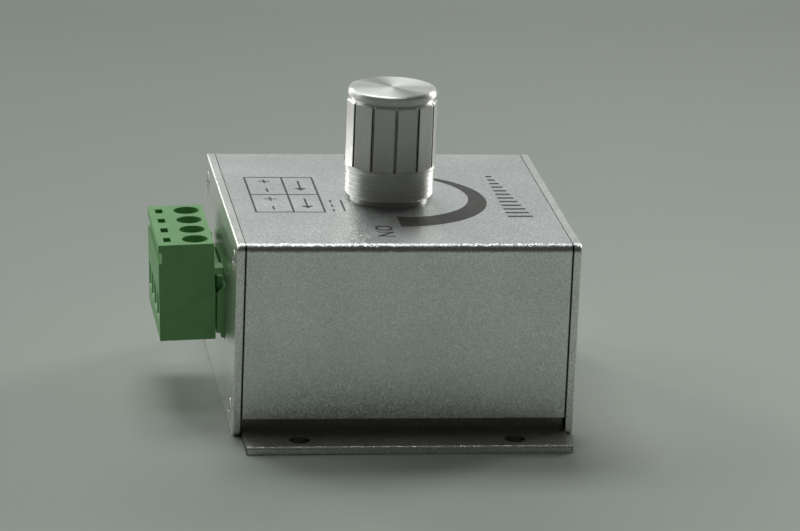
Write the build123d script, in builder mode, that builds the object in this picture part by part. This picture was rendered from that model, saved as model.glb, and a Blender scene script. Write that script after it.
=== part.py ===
from build123d import *
import os
from math import cos, radians, sin

# Rotary dimmer in a flanged aluminium case, with a pluggable screw terminal.
# Millimetres. +X runs from the terminal end to the blank end, +Y from the front wall to the back wall.
# The origin is the centre of the four flange holes, on the underside of the base.

# Case
case_length = 50.0
case_depth = 50.8
case_height = 29.0
wall = 1.2
floor_thickness = 1.0
flange_overhang = 7.8
flange_bevel = 0.2
shadow_gap = 1.8
case_corner = 1.1
end_plate_thickness = 1.2
end_plate_bevel = 0.15
end_seam = 0.1
rib = 1.2
rib_slip = 0.1
flange_hole = 3.0
flange_hole_pitch = 31.4
flange_hole_from_wall = 4.3

# End plate screws, flush in the plates, and the channels of the profiles that they bite into
channel_from_wall = 4.3
channel_from_roof = 3.7
channel_from_floor = 1.8
channel_width = 4.4
channel_slot = 2.3
end_screw_shank = 2.2
end_screw_length = 8.0
end_screw_recess = 2.2
end_screw_recess_slot = 0.6
end_screw_recess_depth = 0.6

# Circuit board
board_thickness = 1.6
board_height = 9.45
board_clearance = 0.4
lead_below_board = 1.0
lead_hole_clearance = 0.2

# Potentiometer
shaft_diameter = 6.0
shaft_running_clearance = 0.04
shaft_slot = 0.8
shaft_slot_depth = 5.0
shaft_end_gap = 1.6
bush_wall = 0.5
bush_panel_clearance = 0.1
bush_above_nut = 0.7
bush_plate_thickness = 1.2
pot_diameter = 16.0
pot_wall = 0.8
pot_ring_height = 6.6
wafer_thickness = 1.0
wafer_tongue_width = 13.0
wafer_tongue_reach = 12.0
pot_lead_pitch = 5.0
pot_lead_width = 1.0
pot_lead_thickness = 0.5
pot_lead_inset = 1.2
rotor_clearance = 0.5
rotor_height = 2.2
rotor_lift = 0.6
wiper_thickness = 0.4
wiper_from_edge = 1.5
wiper_width = 1.2
switch_diameter = 15.2
switch_lead_pitch = 5.0
nut_across_flats = 10.0
nut_height = 2.0
nut_bevel = 0.3
washer_diameter = 11.6
washer_thickness = 0.5

# Knob, measured down from its top face
knob_gap = 0.7
knob_height = 16.3
cap_radius = 6.62
cap_thickness = 1.0
cap_bevel = 0.35
neck_radius = 6.1
neck_height = 0.65
grip_flat_radius = 6.58
grip_flats = 12
grip_turn = -1.2
grip_bevel = 0.35
groove_width = 0.4
groove_depth = 0.4
skirt_wall = 0.53
skirt_height = 4.82
skirt_bevel = 0.4
skirt_shoulder = 0.3
nut_room = 0.3
insert_radius = 4.8
insert_fit = 0.02
insert_crown = 2.6

# Pluggable terminal
poles = 4
pole_pitch = 5.08
terminal_end = 0.29
header_proud = 1.2
header_depth = 10.2
header_height = 7.9
header_wall = 1.2
header_end_wall = 0.7
header_back_wall = 2.0
header_bar_height = 1.0
header_bar_length = 0.9
header_bar_inset = 1.3
header_chamfer = 0.9
header_notch = 0.7
window_clearance = 0.4
pin_width = 1.0
pin_fit = 0.02
pin_inset = 1.0
plug_droop = 2.4
plug_gap = 0.27
plug_width = 8.2
plug_floor_thickness = 1.73
shoulder_skin = 0.2
nose_clearance = 0.5
nose_end_clearance = 0.25
nose_tip_clearance = 1.2
latch_clearance = 0.8
latch_height = 1.0
latch_reach = 1.25
latch_length = 2.7
marker_groove_drop = 1.2
marker_groove_height = 1.6
marker_groove_depth = 0.45
screw_hole = 3.8
driver_well = 2.25
probe_slot = 1.1
probe_slot_length = 2.1
probe_slot_depth = 3.0
probe_from_face = 1.5
wire_width = 3.0
wire_height = 3.2
wire_flare = 0.3
pole_wall = 0.68
cage_length = 3.2
cage_screw_room = 0.1
cage_top = 1.2
cage_bottom = 0.8
cage_room = 4.6
cage_slip = 0.1
cage_lift = 2.2
contact_rise = 2.2
contact_thickness = 0.8
contact_width = 2.4
contact_web = 0.5
contact_slip = 0.1
pin_room = 0.4
socket_leaf = 0.4
socket_width = 1.8
socket_tip_cover = 1.8
screw_thread = 3.0
screw_thread_clearance = 0.05
screw_head = 3.4
screw_head_height = 1.6
screw_drive_slot = 0.6
screw_drive_depth = 0.8
seat_gap = 0.05

# Parts on the circuit board: bodies and leads as (x, y, z) sizes
power_from_end = 8.0
power_from_side = 9.0
transistor_pitch = 9.0
transistor_body = (6.2, 6.6, 2.3)
transistor_tab = (1.2, 5.4, 0.5)
transistor_lead = (2.8, 0.8, 0.5)
transistor_lead_pitch = 4.6
capacitor_diameter = 8.0
capacitor_height = 12.0
diode_body = (4.4, 3.6, 2.3)
diode_lead = (0.7, 2.0, 1.2)
chip_body = (4.0, 5.0, 1.5)
chip_lead = (0.9, 0.4, 0.25)
chip_lead_pitch = 1.27
chip_leads_on_a_side = 4
passive_from_side = 4.0
passive_pitch = 3.0
resistor_body = (1.6, 3.2, 0.6)
resistor_count = 4
ceramic_body = (1.4, 2.0, 1.2)
ceramic_count = 3

# Levels and positions that follow from the sizes above
profile_length = case_length - 2 * (end_plate_thickness + end_seam)
roof_under = case_height - wall
cover_bottom = floor_thickness + shadow_gap
inner_depth = case_depth - 2 * wall
rib_y = inner_depth / 2 - rib_slip - rib / 2
flange_hole_row = case_depth + 2 * flange_hole_from_wall
channel_y = case_depth / 2 - channel_from_wall
channel_high = case_height - channel_from_roof
channel_low = floor_thickness + channel_from_floor
channel_depth_high = roof_under - channel_high + channel_width / 2
channel_depth_low = channel_low - floor_thickness + channel_width / 2
screw_points = [(y, z) for y in (-channel_y, channel_y) for z in (channel_low, channel_high)]
board_under = board_height - board_thickness + floor_thickness
board_top = board_under + board_thickness
board_length = profile_length - 2 * board_clearance
board_depth = inner_depth - 2 * board_clearance
shaft_radius = shaft_diameter / 2
bush_radius = shaft_radius + bush_wall
terminal_length = poles * pole_pitch + 2 * terminal_end
pole_offsets = [(i - (poles - 1) / 2) * pole_pitch for i in range(poles)]


def end_plate(side, window=None):
    """Build the end plate at x = side * case_length / 2, its four flush screws in one piece with it."""
    inner_face = Plane.YZ.offset(side * (case_length / 2 - end_plate_thickness))
    outer_face = Plane.YZ.offset(side * case_length / 2)
    with BuildPart() as plate:
        with BuildSketch(inner_face):
            outline = Rectangle(case_depth, case_height, align=(Align.CENTER, Align.MIN))
            fillet(outline.vertices(), case_corner)
            if window:
                with Locations((0, board_top - window_clearance)):
                    Rectangle(*window, align=(Align.CENTER, Align.MIN), mode=Mode.SUBTRACT)
        extrude(amount=side * end_plate_thickness)
        rim = plate.faces().sort_by(Axis.X)[-1 if side > 0 else 0].outer_wire().edges()
        chamfer(rim, end_plate_bevel)
        with BuildSketch(inner_face):
            with Locations(*screw_points):
                Circle(end_screw_shank / 2)
        extrude(amount=-side * (end_screw_length - end_plate_thickness))
        with BuildSketch(outer_face):
            with Locations(*screw_points):
                Rectangle(end_screw_recess, end_screw_recess_slot)
                Rectangle(end_screw_recess_slot, end_screw_recess)
        extrude(amount=-side * end_screw_recess_depth, mode=Mode.SUBTRACT)
    return plate


# Case
with BuildPart() as cover_shell:
    with BuildSketch(Plane.YZ) as cover_profile:
        with Locations((0, case_height)):
            Rectangle(case_depth, case_height - cover_bottom, align=(Align.CENTER, Align.MAX))
        fillet(cover_profile.vertices().group_by(Axis.Y)[-1], case_corner)
        with Locations((0, roof_under)):
            Rectangle(
                inner_depth,
                roof_under - cover_bottom,
                align=(Align.CENTER, Align.MAX),
                mode=Mode.SUBTRACT,
            )
        with Locations((-channel_y, roof_under), (channel_y, roof_under)):
            Rectangle(channel_width, channel_depth_high, align=(Align.CENTER, Align.MAX))
            Rectangle(
                channel_slot,
                channel_depth_high,
                align=(Align.CENTER, Align.MAX),
                mode=Mode.SUBTRACT,
            )
    extrude(amount=profile_length / 2, both=True)
    with BuildSketch(Plane.XY.offset(case_height)):
        Circle(bush_radius + bush_panel_clearance)
    extrude(amount=-wall, mode=Mode.SUBTRACT)

with BuildPart() as base_plate:
    with BuildSketch(Plane.YZ) as base_profile:
        Rectangle(case_depth + 2 * flange_overhang, floor_thickness, align=(Align.CENTER, Align.MIN))
        chamfer(base_profile.vertices().group_by(Axis.Y)[-1], flange_bevel)
        with Locations((-rib_y, 0), (rib_y, 0)):
            Rectangle(rib, board_under, align=(Align.CENTER, Align.MIN))
        with Locations((-channel_y, floor_thickness), (channel_y, floor_thickness)):
            Rectangle(channel_width, channel_depth_low, align=(Align.CENTER, Align.MIN))
            Rectangle(channel_slot, channel_depth_low, align=(Align.CENTER, Align.MIN), mode=Mode.SUBTRACT)
    extrude(amount=profile_length / 2, both=True)
    with GridLocations(flange_hole_pitch, flange_hole_row, 2, 2):
        Hole(flange_hole / 2)

blank_end_plate = end_plate(1)
terminal_window = (terminal_length + 2 * window_clearance, header_height + 2 * window_clearance)
terminal_end_plate = end_plate(-1, terminal_window)

# Potentiometer, hung from the roof by its nut
bush_plate_under = roof_under - bush_plate_thickness
wafer_top = bush_plate_under - pot_ring_height
wafer_under = wafer_top - wafer_thickness
rotor_under = wafer_top + rotor_lift
washer_top = case_height + washer_thickness
nut_top = washer_top + nut_height
bush_top = nut_top + bush_above_nut
nut_corner = nut_across_flats / 2 / cos(radians(30))
rotor_radius = pot_diameter / 2 - pot_wall - rotor_clearance
knob_top = case_height + knob_gap + knob_height
insert_top = knob_top - insert_crown
shaft_top = insert_top - shaft_end_gap
pot_lead_y = wafer_tongue_reach - pot_lead_inset
pot_lead_points = [(i * pot_lead_pitch, pot_lead_y) for i in (-1, 0, 1)]
switch_lead_points = [(i * switch_lead_pitch / 2, -switch_lead_pitch / 2) for i in (-1, 1)]

with BuildPart() as pot_bushing:
    with BuildSketch(Plane.XY.offset(bush_plate_under)):
        Rectangle(pot_diameter, pot_diameter)
    extrude(amount=bush_plate_thickness)
    with BuildSketch(Plane.XY.offset(roof_under)):
        Circle(bush_radius)
    extrude(amount=bush_top - roof_under)
    with Locations((0, 0, bush_top)):
        Hole(shaft_radius + shaft_running_clearance)

with BuildPart() as pot_housing:
    with BuildSketch(Plane.XY.offset(wafer_top)):
        Circle(pot_diameter / 2)
        Circle(pot_diameter / 2 - pot_wall, mode=Mode.SUBTRACT)
    extrude(amount=pot_ring_height)

with BuildPart() as pot_wafer:
    with BuildSketch(Plane.XY.offset(wafer_under)):
        Rectangle(pot_diameter, pot_diameter)
        Rectangle(wafer_tongue_width, wafer_tongue_reach, align=(Align.CENTER, Align.MIN))
        with Locations(*pot_lead_points):
            Rectangle(pot_lead_width, pot_lead_thickness, mode=Mode.SUBTRACT)
    extrude(amount=wafer_thickness)

with BuildPart() as pot_terminals:
    with BuildSketch(Plane.XY.offset(wafer_top)):
        with Locations(*pot_lead_points):
            Rectangle(pot_lead_width, pot_lead_thickness)
    extrude(amount=board_under - lead_below_board - wafer_top)

with BuildPart() as pot_rotor:
    with BuildSketch(Plane.XY.offset(rotor_under)):
        Circle(rotor_radius)
        Circle(shaft_radius, mode=Mode.SUBTRACT)
    extrude(amount=rotor_height)

with BuildPart() as pot_wiper:
    with BuildSketch(Plane.XY.offset(rotor_under)):
        Rectangle(2 * (rotor_radius - wiper_from_edge), wiper_width)
    extrude(amount=-wiper_thickness)

with BuildPart() as pot_shaft:
    with BuildSketch(Plane.XY.offset(rotor_under)):
        Circle(shaft_radius)
    extrude(amount=shaft_top - rotor_under)
    with BuildSketch(Plane.XY.offset(shaft_top)):
        Rectangle(shaft_diameter, shaft_slot)
    extrude(amount=-shaft_slot_depth, mode=Mode.SUBTRACT)

with BuildPart() as switch_box:
    with BuildSketch(Plane.XY.offset(board_top)):
        Circle(switch_diameter / 2)
    extrude(amount=wafer_under - board_top)

with BuildPart() as switch_pins:
    with BuildSketch(Plane.XY.offset(board_top)):
        with Locations(*switch_lead_points):
            Rectangle(pot_lead_width, pot_lead_thickness)
    extrude(amount=-board_thickness - lead_below_board)

with BuildPart() as pot_washer:
    with BuildSketch(Plane.XY.offset(case_height)):
        Circle(washer_diameter / 2)
        Circle(bush_radius + bush_panel_clearance, mode=Mode.SUBTRACT)
    extrude(amount=washer_thickness)

with BuildPart() as pot_nut:
    with BuildSketch(Plane.XY.offset(washer_top)):
        RegularPolygon(nut_across_flats / 2, 6, major_radius=False)
        Circle(bush_radius, mode=Mode.SUBTRACT)
    extrude(amount=nut_height)
    with BuildSketch(Plane.XZ):
        with BuildLine():
            Polyline(
                (nut_corner - nut_bevel, nut_top),
                (nut_corner + nut_bevel, nut_top),
                (nut_corner + nut_bevel, nut_top - 2 * nut_bevel),
                close=True,
            )
        make_face()
    revolve(axis=Axis.Z, mode=Mode.SUBTRACT)

# Knob
knob_bottom = knob_top - knob_height
cap_bottom = knob_top - cap_thickness
grip_top = cap_bottom - neck_height
grip_bottom = knob_bottom + skirt_height
grip_corner_radius = grip_flat_radius / cos(radians(180 / grip_flats))
nut_recess_radius = nut_corner + nut_room
nut_recess_top = bush_top + nut_room
skirt_radius = nut_recess_radius + skirt_wall

with BuildPart() as knob:
    with BuildSketch(Plane.XZ):
        with BuildLine():
            Polyline(
                (0, knob_top),
                (cap_radius - cap_bevel, knob_top),
                (cap_radius, knob_top - cap_bevel),
                (cap_radius, cap_bottom),
                (neck_radius, cap_bottom),
                (neck_radius, grip_top),
                (grip_corner_radius - grip_bevel, grip_top),
                (grip_corner_radius, grip_top - grip_bevel),
                (grip_corner_radius, grip_bottom),
                (skirt_radius - skirt_shoulder, grip_bottom),
                (skirt_radius, grip_bottom - skirt_shoulder),
                (skirt_radius, knob_bottom + skirt_bevel),
                (skirt_radius - skirt_bevel, knob_bottom),
                (nut_recess_radius, knob_bottom),
                (nut_recess_radius, nut_recess_top),
                (insert_radius, nut_recess_top),
                (insert_radius, insert_top),
                (0, insert_top),
                close=True,
            )
        make_face()
    revolve(axis=Axis.Z)
    with BuildSketch(Plane.XY.offset(grip_bottom)):
        Circle(grip_corner_radius + groove_depth)
        RegularPolygon(
            grip_flat_radius,
            grip_flats,
            major_radius=False,
            rotation=grip_turn,
            mode=Mode.SUBTRACT,
        )
        with PolarLocations(grip_corner_radius, grip_flats, start_angle=grip_turn):
            Rectangle(2 * groove_depth, groove_width)
    extrude(amount=grip_top - grip_bottom, mode=Mode.SUBTRACT)

with BuildPart() as knob_insert:
    with BuildSketch(Plane.XY.offset(nut_recess_top)):
        Circle(insert_radius - insert_fit)
        Circle(shaft_radius + insert_fit, mode=Mode.SUBTRACT)
    extrude(amount=insert_top - nut_recess_top)

# Header on the board, in the window of the terminal end plate
header_mouth = -case_length / 2 - header_proud
header_back = header_mouth + header_depth
pin_axis = board_top + header_height / 2
header_room = header_height - 2 * header_wall
pin_drop_x = header_back + pin_width
pin_tip = header_mouth + pin_inset
pin_top = pin_axis + pin_width / 2
pin_foot = board_under - lead_below_board

with BuildPart() as header_housing:
    with BuildSketch(Plane.XZ) as header_profile:
        with Locations((header_mouth, board_top)):
            Rectangle(header_depth, header_height, align=(Align.MIN, Align.MIN))
        chamfer(header_profile.vertices().group_by(Axis.X)[0].sort_by(Axis.Y)[-1], header_chamfer)
        with Locations((header_mouth, board_top)):
            Rectangle(header_notch, header_notch, align=(Align.MIN, Align.MIN), mode=Mode.SUBTRACT)
    extrude(amount=terminal_length / 2, both=True)
    with BuildSketch(Plane.XZ):
        with Locations((header_mouth, board_top + header_height - header_chamfer)):
            Rectangle(header_bar_length, header_chamfer + header_bar_height, align=(Align.MIN, Align.MIN))
    extrude(amount=terminal_length / 2 - header_bar_inset, both=True)
    with BuildSketch(Plane.YZ.offset(header_mouth)):
        with Locations((0, board_top + header_wall)):
            Rectangle(
                terminal_length - 2 * header_end_wall,
                header_room,
                align=(Align.CENTER, Align.MIN),
            )
    extrude(amount=header_depth - header_back_wall, mode=Mode.SUBTRACT)
    with BuildSketch(Plane.YZ.offset(header_mouth)):
        with Locations(*[(y, pin_axis) for y in pole_offsets]):
            Rectangle(pin_width + 2 * pin_fit, pin_width + 2 * pin_fit)
    extrude(amount=header_depth, mode=Mode.SUBTRACT)

with BuildPart() as header_pins:
    for y in pole_offsets:
        with BuildSketch(Plane.XZ.offset(-y)):
            with Locations((pin_tip, pin_top)):
                Rectangle(pin_drop_x + pin_width / 2 - pin_tip, pin_width, align=(Align.MIN, Align.MAX))
            with Locations((pin_drop_x, pin_top)):
                Rectangle(pin_width, pin_top - pin_foot, align=(Align.CENTER, Align.MAX))
        extrude(amount=pin_width / 2, both=True)

# Circuit board and what stands on it
power_x = board_length / 2 - power_from_end
power_y = board_depth / 2 - power_from_side
front_row = passive_from_side - board_depth / 2

with BuildPart() as circuit_board:
    with BuildSketch(Plane.XY.offset(board_under)):
        Rectangle(board_length, board_depth)
        with Locations(*pot_lead_points, *switch_lead_points):
            Rectangle(
                pot_lead_width + lead_hole_clearance,
                pot_lead_thickness + lead_hole_clearance,
                mode=Mode.SUBTRACT,
            )
        with Locations(*[(pin_drop_x, y) for y in pole_offsets]):
            Rectangle(pin_width + lead_hole_clearance, pin_width + lead_hole_clearance, mode=Mode.SUBTRACT)
    extrude(amount=board_thickness)

with BuildPart() as power_transistors:
    for y in (power_y, power_y - transistor_pitch):
        with Locations((power_x, y, board_top)):
            Box(*transistor_body, align=(Align.CENTER, Align.CENTER, Align.MIN))
        with Locations((power_x + transistor_body[0] / 2, y, board_top)):
            Box(*transistor_tab, align=(Align.MIN, Align.CENTER, Align.MIN))
        with Locations((power_x - transistor_body[0] / 2, y, board_top)):
            with GridLocations(0, transistor_lead_pitch, 1, 2):
                Box(*transistor_lead, align=(Align.MAX, Align.CENTER, Align.MIN))

with BuildPart() as filter_capacitor:
    with BuildSketch(Plane.XY.offset(board_top)):
        with Locations((power_x, -power_y)):
            Circle(capacitor_diameter / 2)
    extrude(amount=capacitor_height)

with BuildPart() as flyback_diode:
    with Locations((power_x, -power_y + capacitor_diameter, board_top)):
        Box(*diode_body, align=(Align.CENTER, Align.CENTER, Align.MIN))
        with GridLocations(diode_body[0] + diode_lead[0], 0, 2, 1):
            Box(*diode_lead, align=(Align.CENTER, Align.CENTER, Align.MIN))

with BuildPart() as driver_chip:
    with Locations((0, front_row + chip_body[1], board_top)):
        Box(*chip_body, align=(Align.CENTER, Align.CENTER, Align.MIN))
        with GridLocations(chip_body[0] + chip_lead[0], chip_lead_pitch, 2, chip_leads_on_a_side):
            Box(*chip_lead, align=(Align.CENTER, Align.CENTER, Align.MIN))

with BuildPart() as chip_resistors:
    with Locations((-resistor_count * passive_pitch / 2, front_row, board_top)):
        with GridLocations(passive_pitch, 0, resistor_count, 1):
            Box(*resistor_body, align=(Align.CENTER, Align.CENTER, Align.MIN))

with BuildPart() as chip_capacitors:
    with Locations((ceramic_count * passive_pitch / 2 + passive_pitch, front_row, board_top)):
        with GridLocations(passive_pitch, 0, ceramic_count, 1):
            Box(*ceramic_body, align=(Align.CENTER, Align.CENTER, Align.MIN))

# Plug, in its own frame: origin on the pin axis at the header's mouth, turned by the droop of its own play
droop = radians(plug_droop)
plug_frame = Plane(
    origin=(header_mouth, 0, pin_axis),
    x_dir=(cos(droop), 0, sin(droop)),
    z_dir=(-sin(droop), 0, cos(droop)),
)
plug_side = Plane(origin=plug_frame.origin, x_dir=plug_frame.x_dir, z_dir=-plug_frame.y_dir)
plug_end = Plane(origin=plug_frame.origin, x_dir=plug_frame.y_dir, z_dir=plug_frame.x_dir)
shoulder = -plug_gap
plug_outer = shoulder - plug_width
cage_width = pole_pitch - pole_wall - 2 * cage_slip
pocket_length = cage_length + 2 * cage_slip
pocket_inner = shoulder - shoulder_skin - contact_web - 2 * contact_slip
screw_u = pocket_inner - pocket_length / 2
screw_places = [(screw_u, y) for y in pole_offsets]
probe_places = [(plug_outer + probe_from_face, y) for y in pole_offsets]
contact_top = contact_rise + contact_thickness
cage_ceiling = contact_top + cage_slip
cage_floor = cage_ceiling - cage_room
pocket_floor = cage_floor - cage_bottom - cage_slip
pocket_roof = cage_ceiling + cage_top + cage_lift + cage_slip
screw_foot = contact_top + seat_gap
screw_head_under = pocket_roof + seat_gap
plug_floor = pocket_floor - plug_floor_thickness
plug_roof = screw_head_under + screw_head_height + driver_well
web_outer = pocket_inner + contact_slip
socket_gap = pin_width + 2 * pin_room
socket_height = socket_gap + 2 * socket_leaf
nose_length = header_depth - header_back_wall - nose_tip_clearance
nose_height = header_room - 2 * nose_clearance
socket_end = nose_length - socket_tip_cover
latch_floor = header_height / 2 + header_bar_height + latch_clearance
wire_floor = contact_rise - wire_height

with BuildPart() as plug_housing:
    with BuildSketch(plug_side):
        with Locations((shoulder, plug_floor)):
            Rectangle(plug_width, plug_roof - plug_floor, align=(Align.MAX, Align.MIN))
        with Locations((plug_outer, plug_roof - marker_groove_drop)):
            Rectangle(
                marker_groove_depth,
                marker_groove_height,
                align=(Align.MIN, Align.MAX),
                mode=Mode.SUBTRACT,
            )
    extrude(amount=terminal_length / 2, both=True)
    for end in (-1, 1):
        with BuildSketch(plug_side.offset(end * (terminal_length - latch_length) / 2)):
            with Locations((shoulder, latch_floor)):
                Rectangle(latch_reach, latch_height, align=(Align.MIN, Align.MIN))
        extrude(amount=latch_length / 2, both=True)
    with BuildSketch(plug_side):
        with Locations((shoulder, 0)):
            Rectangle(plug_gap + nose_length, nose_height, align=(Align.MIN, Align.CENTER))
    extrude(amount=terminal_length / 2 - header_end_wall - nose_end_clearance, both=True)
    with BuildSketch(plug_frame.offset(pocket_floor)):
        with Locations(*screw_places):
            Rectangle(pocket_length, cage_width + 2 * cage_slip)
    extrude(amount=pocket_roof - pocket_floor, mode=Mode.SUBTRACT)
    with BuildSketch(plug_frame.offset(plug_roof)):
        with Locations(*screw_places):
            Circle(screw_hole / 2)
    extrude(amount=pocket_roof - plug_roof, mode=Mode.SUBTRACT)
    with BuildSketch(plug_frame.offset(plug_roof)):
        with Locations(*probe_places):
            Rectangle(probe_slot, probe_slot_length)
    extrude(amount=-probe_slot_depth, mode=Mode.SUBTRACT)
    with BuildSketch(plug_end.offset(plug_outer)):
        with Locations(*[(y, wire_floor) for y in pole_offsets]):
            Rectangle(wire_width, wire_height, align=(Align.CENTER, Align.MIN))
    extrude(amount=screw_u - plug_outer, mode=Mode.SUBTRACT)
    with BuildSketch(plug_end.offset(plug_outer)):
        with Locations(*[(y, wire_floor + wire_height / 2) for y in pole_offsets]):
            Rectangle(wire_width + 2 * wire_flare, wire_height + 2 * wire_flare)
    extrude(amount=wire_flare, taper=45, mode=Mode.SUBTRACT)
    with BuildSketch(plug_end.offset(pocket_inner)):
        with Locations(*[(y, 0) for y in pole_offsets]):
            Rectangle(contact_width + 2 * contact_slip, socket_height + 2 * contact_slip)
    extrude(amount=nose_length - pocket_inner, mode=Mode.SUBTRACT)
    with BuildSketch(plug_end.offset(pocket_inner)):
        with Locations(*[(y, -socket_height / 2) for y in pole_offsets]):
            Rectangle(
                contact_width + 2 * contact_slip,
                contact_top + socket_height / 2 + contact_slip,
                align=(Align.CENTER, Align.MIN),
            )
    extrude(amount=contact_web + 2 * contact_slip, mode=Mode.SUBTRACT)

with BuildPart() as plug_contacts:
    for y in pole_offsets:
        pole_side = plug_side.offset(-y)
        with BuildSketch(pole_side):
            with Locations((web_outer + contact_web, contact_rise)):
                Rectangle(
                    web_outer + contact_web - screw_u + cage_length / 2,
                    contact_thickness,
                    align=(Align.MAX, Align.MIN),
                )
            with Locations((web_outer, -socket_height / 2)):
                Rectangle(contact_web, socket_height / 2 + contact_top, align=(Align.MIN, Align.MIN))
        extrude(amount=contact_width / 2, both=True)
        with BuildSketch(pole_side):
            with Locations((web_outer, 0)):
                Rectangle(socket_end - web_outer, socket_height, align=(Align.MIN, Align.CENTER))
            with Locations((web_outer + contact_web, 0)):
                Rectangle(
                    socket_end - web_outer,
                    socket_gap,
                    align=(Align.MIN, Align.CENTER),
                    mode=Mode.SUBTRACT,
                )
        extrude(amount=socket_width / 2, both=True)

terminal_screws = []
clamp_cages = []
for place in screw_places:
    with BuildPart() as terminal_screw:
        with BuildSketch(plug_frame.offset(screw_foot)):
            with Locations(place):
                Circle(screw_thread / 2)
        extrude(amount=screw_head_under - screw_foot)
        with BuildSketch(plug_frame.offset(screw_head_under)):
            with Locations(place):
                Circle(screw_head / 2)
        extrude(amount=screw_head_height)
        with BuildSketch(plug_frame.offset(screw_head_under + screw_head_height)):
            with Locations(place):
                Rectangle(screw_head, screw_drive_slot)
        extrude(amount=-screw_drive_depth, mode=Mode.SUBTRACT)
    terminal_screws.append(terminal_screw)
    with BuildPart() as clamp_cage:
        with BuildSketch(plug_end.offset(screw_u - cage_length / 2)):
            with Locations((place[1], cage_floor - cage_bottom)):
                Rectangle(cage_width, cage_bottom + cage_room + cage_top, align=(Align.CENTER, Align.MIN))
            with Locations((place[1], cage_floor)):
                Rectangle(
                    screw_thread + 2 * cage_screw_room,
                    cage_room,
                    align=(Align.CENTER, Align.MIN),
                    mode=Mode.SUBTRACT,
                )
        extrude(amount=cage_length)
        with BuildSketch(plug_frame.offset(cage_ceiling)):
            with Locations(place):
                Circle(screw_thread / 2 + screw_thread_clearance)
        extrude(amount=cage_top, mode=Mode.SUBTRACT)
    clamp_cages.append(clamp_cage)

pieces = {
    "cover_shell": cover_shell,
    "base_plate": base_plate,
    "terminal_end_plate": terminal_end_plate,
    "blank_end_plate": blank_end_plate,
    "knob": knob,
    "knob_insert": knob_insert,
    "pot_bushing": pot_bushing,
    "pot_housing": pot_housing,
    "pot_wafer": pot_wafer,
    "pot_terminals": pot_terminals,
    "pot_rotor": pot_rotor,
    "pot_wiper": pot_wiper,
    "pot_shaft": pot_shaft,
    "pot_washer": pot_washer,
    "pot_nut": pot_nut,
    "switch_box": switch_box,
    "switch_pins": switch_pins,
    "circuit_board": circuit_board,
    "power_transistors": power_transistors,
    "filter_capacitor": filter_capacitor,
    "flyback_diode": flyback_diode,
    "driver_chip": driver_chip,
    "chip_resistors": chip_resistors,
    "chip_capacitors": chip_capacitors,
    "header_housing": header_housing,
    "header_pins": header_pins,
    "plug_housing": plug_housing,
    "plug_contacts": plug_contacts,
}
for number, (screw, cage) in enumerate(zip(terminal_screws, clamp_cages), start=1):
    pieces[f"terminal_screw_{number}"] = screw
    pieces[f"clamp_cage_{number}"] = cage

os.makedirs("parts", exist_ok=True)
for name, piece in pieces.items():
    piece.part.label = name
    export_step(piece.part, f"parts/{name}.step")
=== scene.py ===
# %% [markdown]
# # A rotary dimmer in a blasted aluminium case
# The object is a small dimmer for low-voltage light strips. Two extruded aluminium profiles and two end
# plates make the case, a turned aluminium knob stands on the roof, and a green pluggable terminal leaves
# the left end. The CAD model gives every piece its size and place, so this lesson starts from that frame
# and never moves it. What is made here is the looks: the finishes, the finely turned knob, the heads of the
# end screws, the filed edges of the flanges and the roof's print.

import bpy
import numpy as np
from mathutils import Matrix, Vector


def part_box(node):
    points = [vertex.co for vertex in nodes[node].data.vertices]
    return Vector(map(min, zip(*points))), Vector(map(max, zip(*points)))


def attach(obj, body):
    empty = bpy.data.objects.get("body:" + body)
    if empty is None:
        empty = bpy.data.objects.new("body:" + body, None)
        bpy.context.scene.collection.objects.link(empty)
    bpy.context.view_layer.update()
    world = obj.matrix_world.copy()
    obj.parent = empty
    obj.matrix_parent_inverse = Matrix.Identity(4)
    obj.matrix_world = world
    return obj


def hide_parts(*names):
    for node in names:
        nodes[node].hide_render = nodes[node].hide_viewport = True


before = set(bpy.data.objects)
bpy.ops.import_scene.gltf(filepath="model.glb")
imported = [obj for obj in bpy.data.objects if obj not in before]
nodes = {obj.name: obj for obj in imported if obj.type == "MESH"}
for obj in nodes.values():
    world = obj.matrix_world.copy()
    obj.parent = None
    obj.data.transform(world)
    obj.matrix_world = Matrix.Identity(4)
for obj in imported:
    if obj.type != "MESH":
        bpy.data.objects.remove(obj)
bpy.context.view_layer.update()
scene = bpy.context.scene
scene.view_settings.view_transform = "Standard"
MM = 0.001

# %% [markdown]
# ## Camera
# The view is a long lens from the front, a little to the left and about 17 degrees above the table. A camera
# could be placed by eye, but a long lens makes that slow, so its angles and distance are stated as one
# would read them from a tripod head. The back direction, from the object to the lens, comes from azimuth
# and elevation; the roll then turns the picture about that direction.

# %% Place the camera
PICTURE_WIDTH = 800
FOCAL_PIXELS = 4351.3
SENSOR_WIDTH = 36.0
camera_azimuth = np.radians(-8.138)
camera_elevation = np.radians(16.529)
camera_roll = np.radians(2.279)
camera_distance = 657.4 * MM
aim_right = 2.84 * MM
aim_up = 17.6 * MM
nearest_seen = 50 * MM


def view_axes(azimuth, elevation, roll):
    """Right, up and back directions of a camera that looks at the origin from those angles."""
    level = np.cos(elevation)
    back = np.array([np.sin(azimuth) * level, -np.cos(azimuth) * level, np.sin(elevation)])
    right = np.cross(-back, (0, 0, 1))
    right /= np.linalg.norm(right)
    up = np.cross(right, -back)
    return np.cos(roll) * right + np.sin(roll) * up, np.cos(roll) * up - np.sin(roll) * right, back


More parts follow.
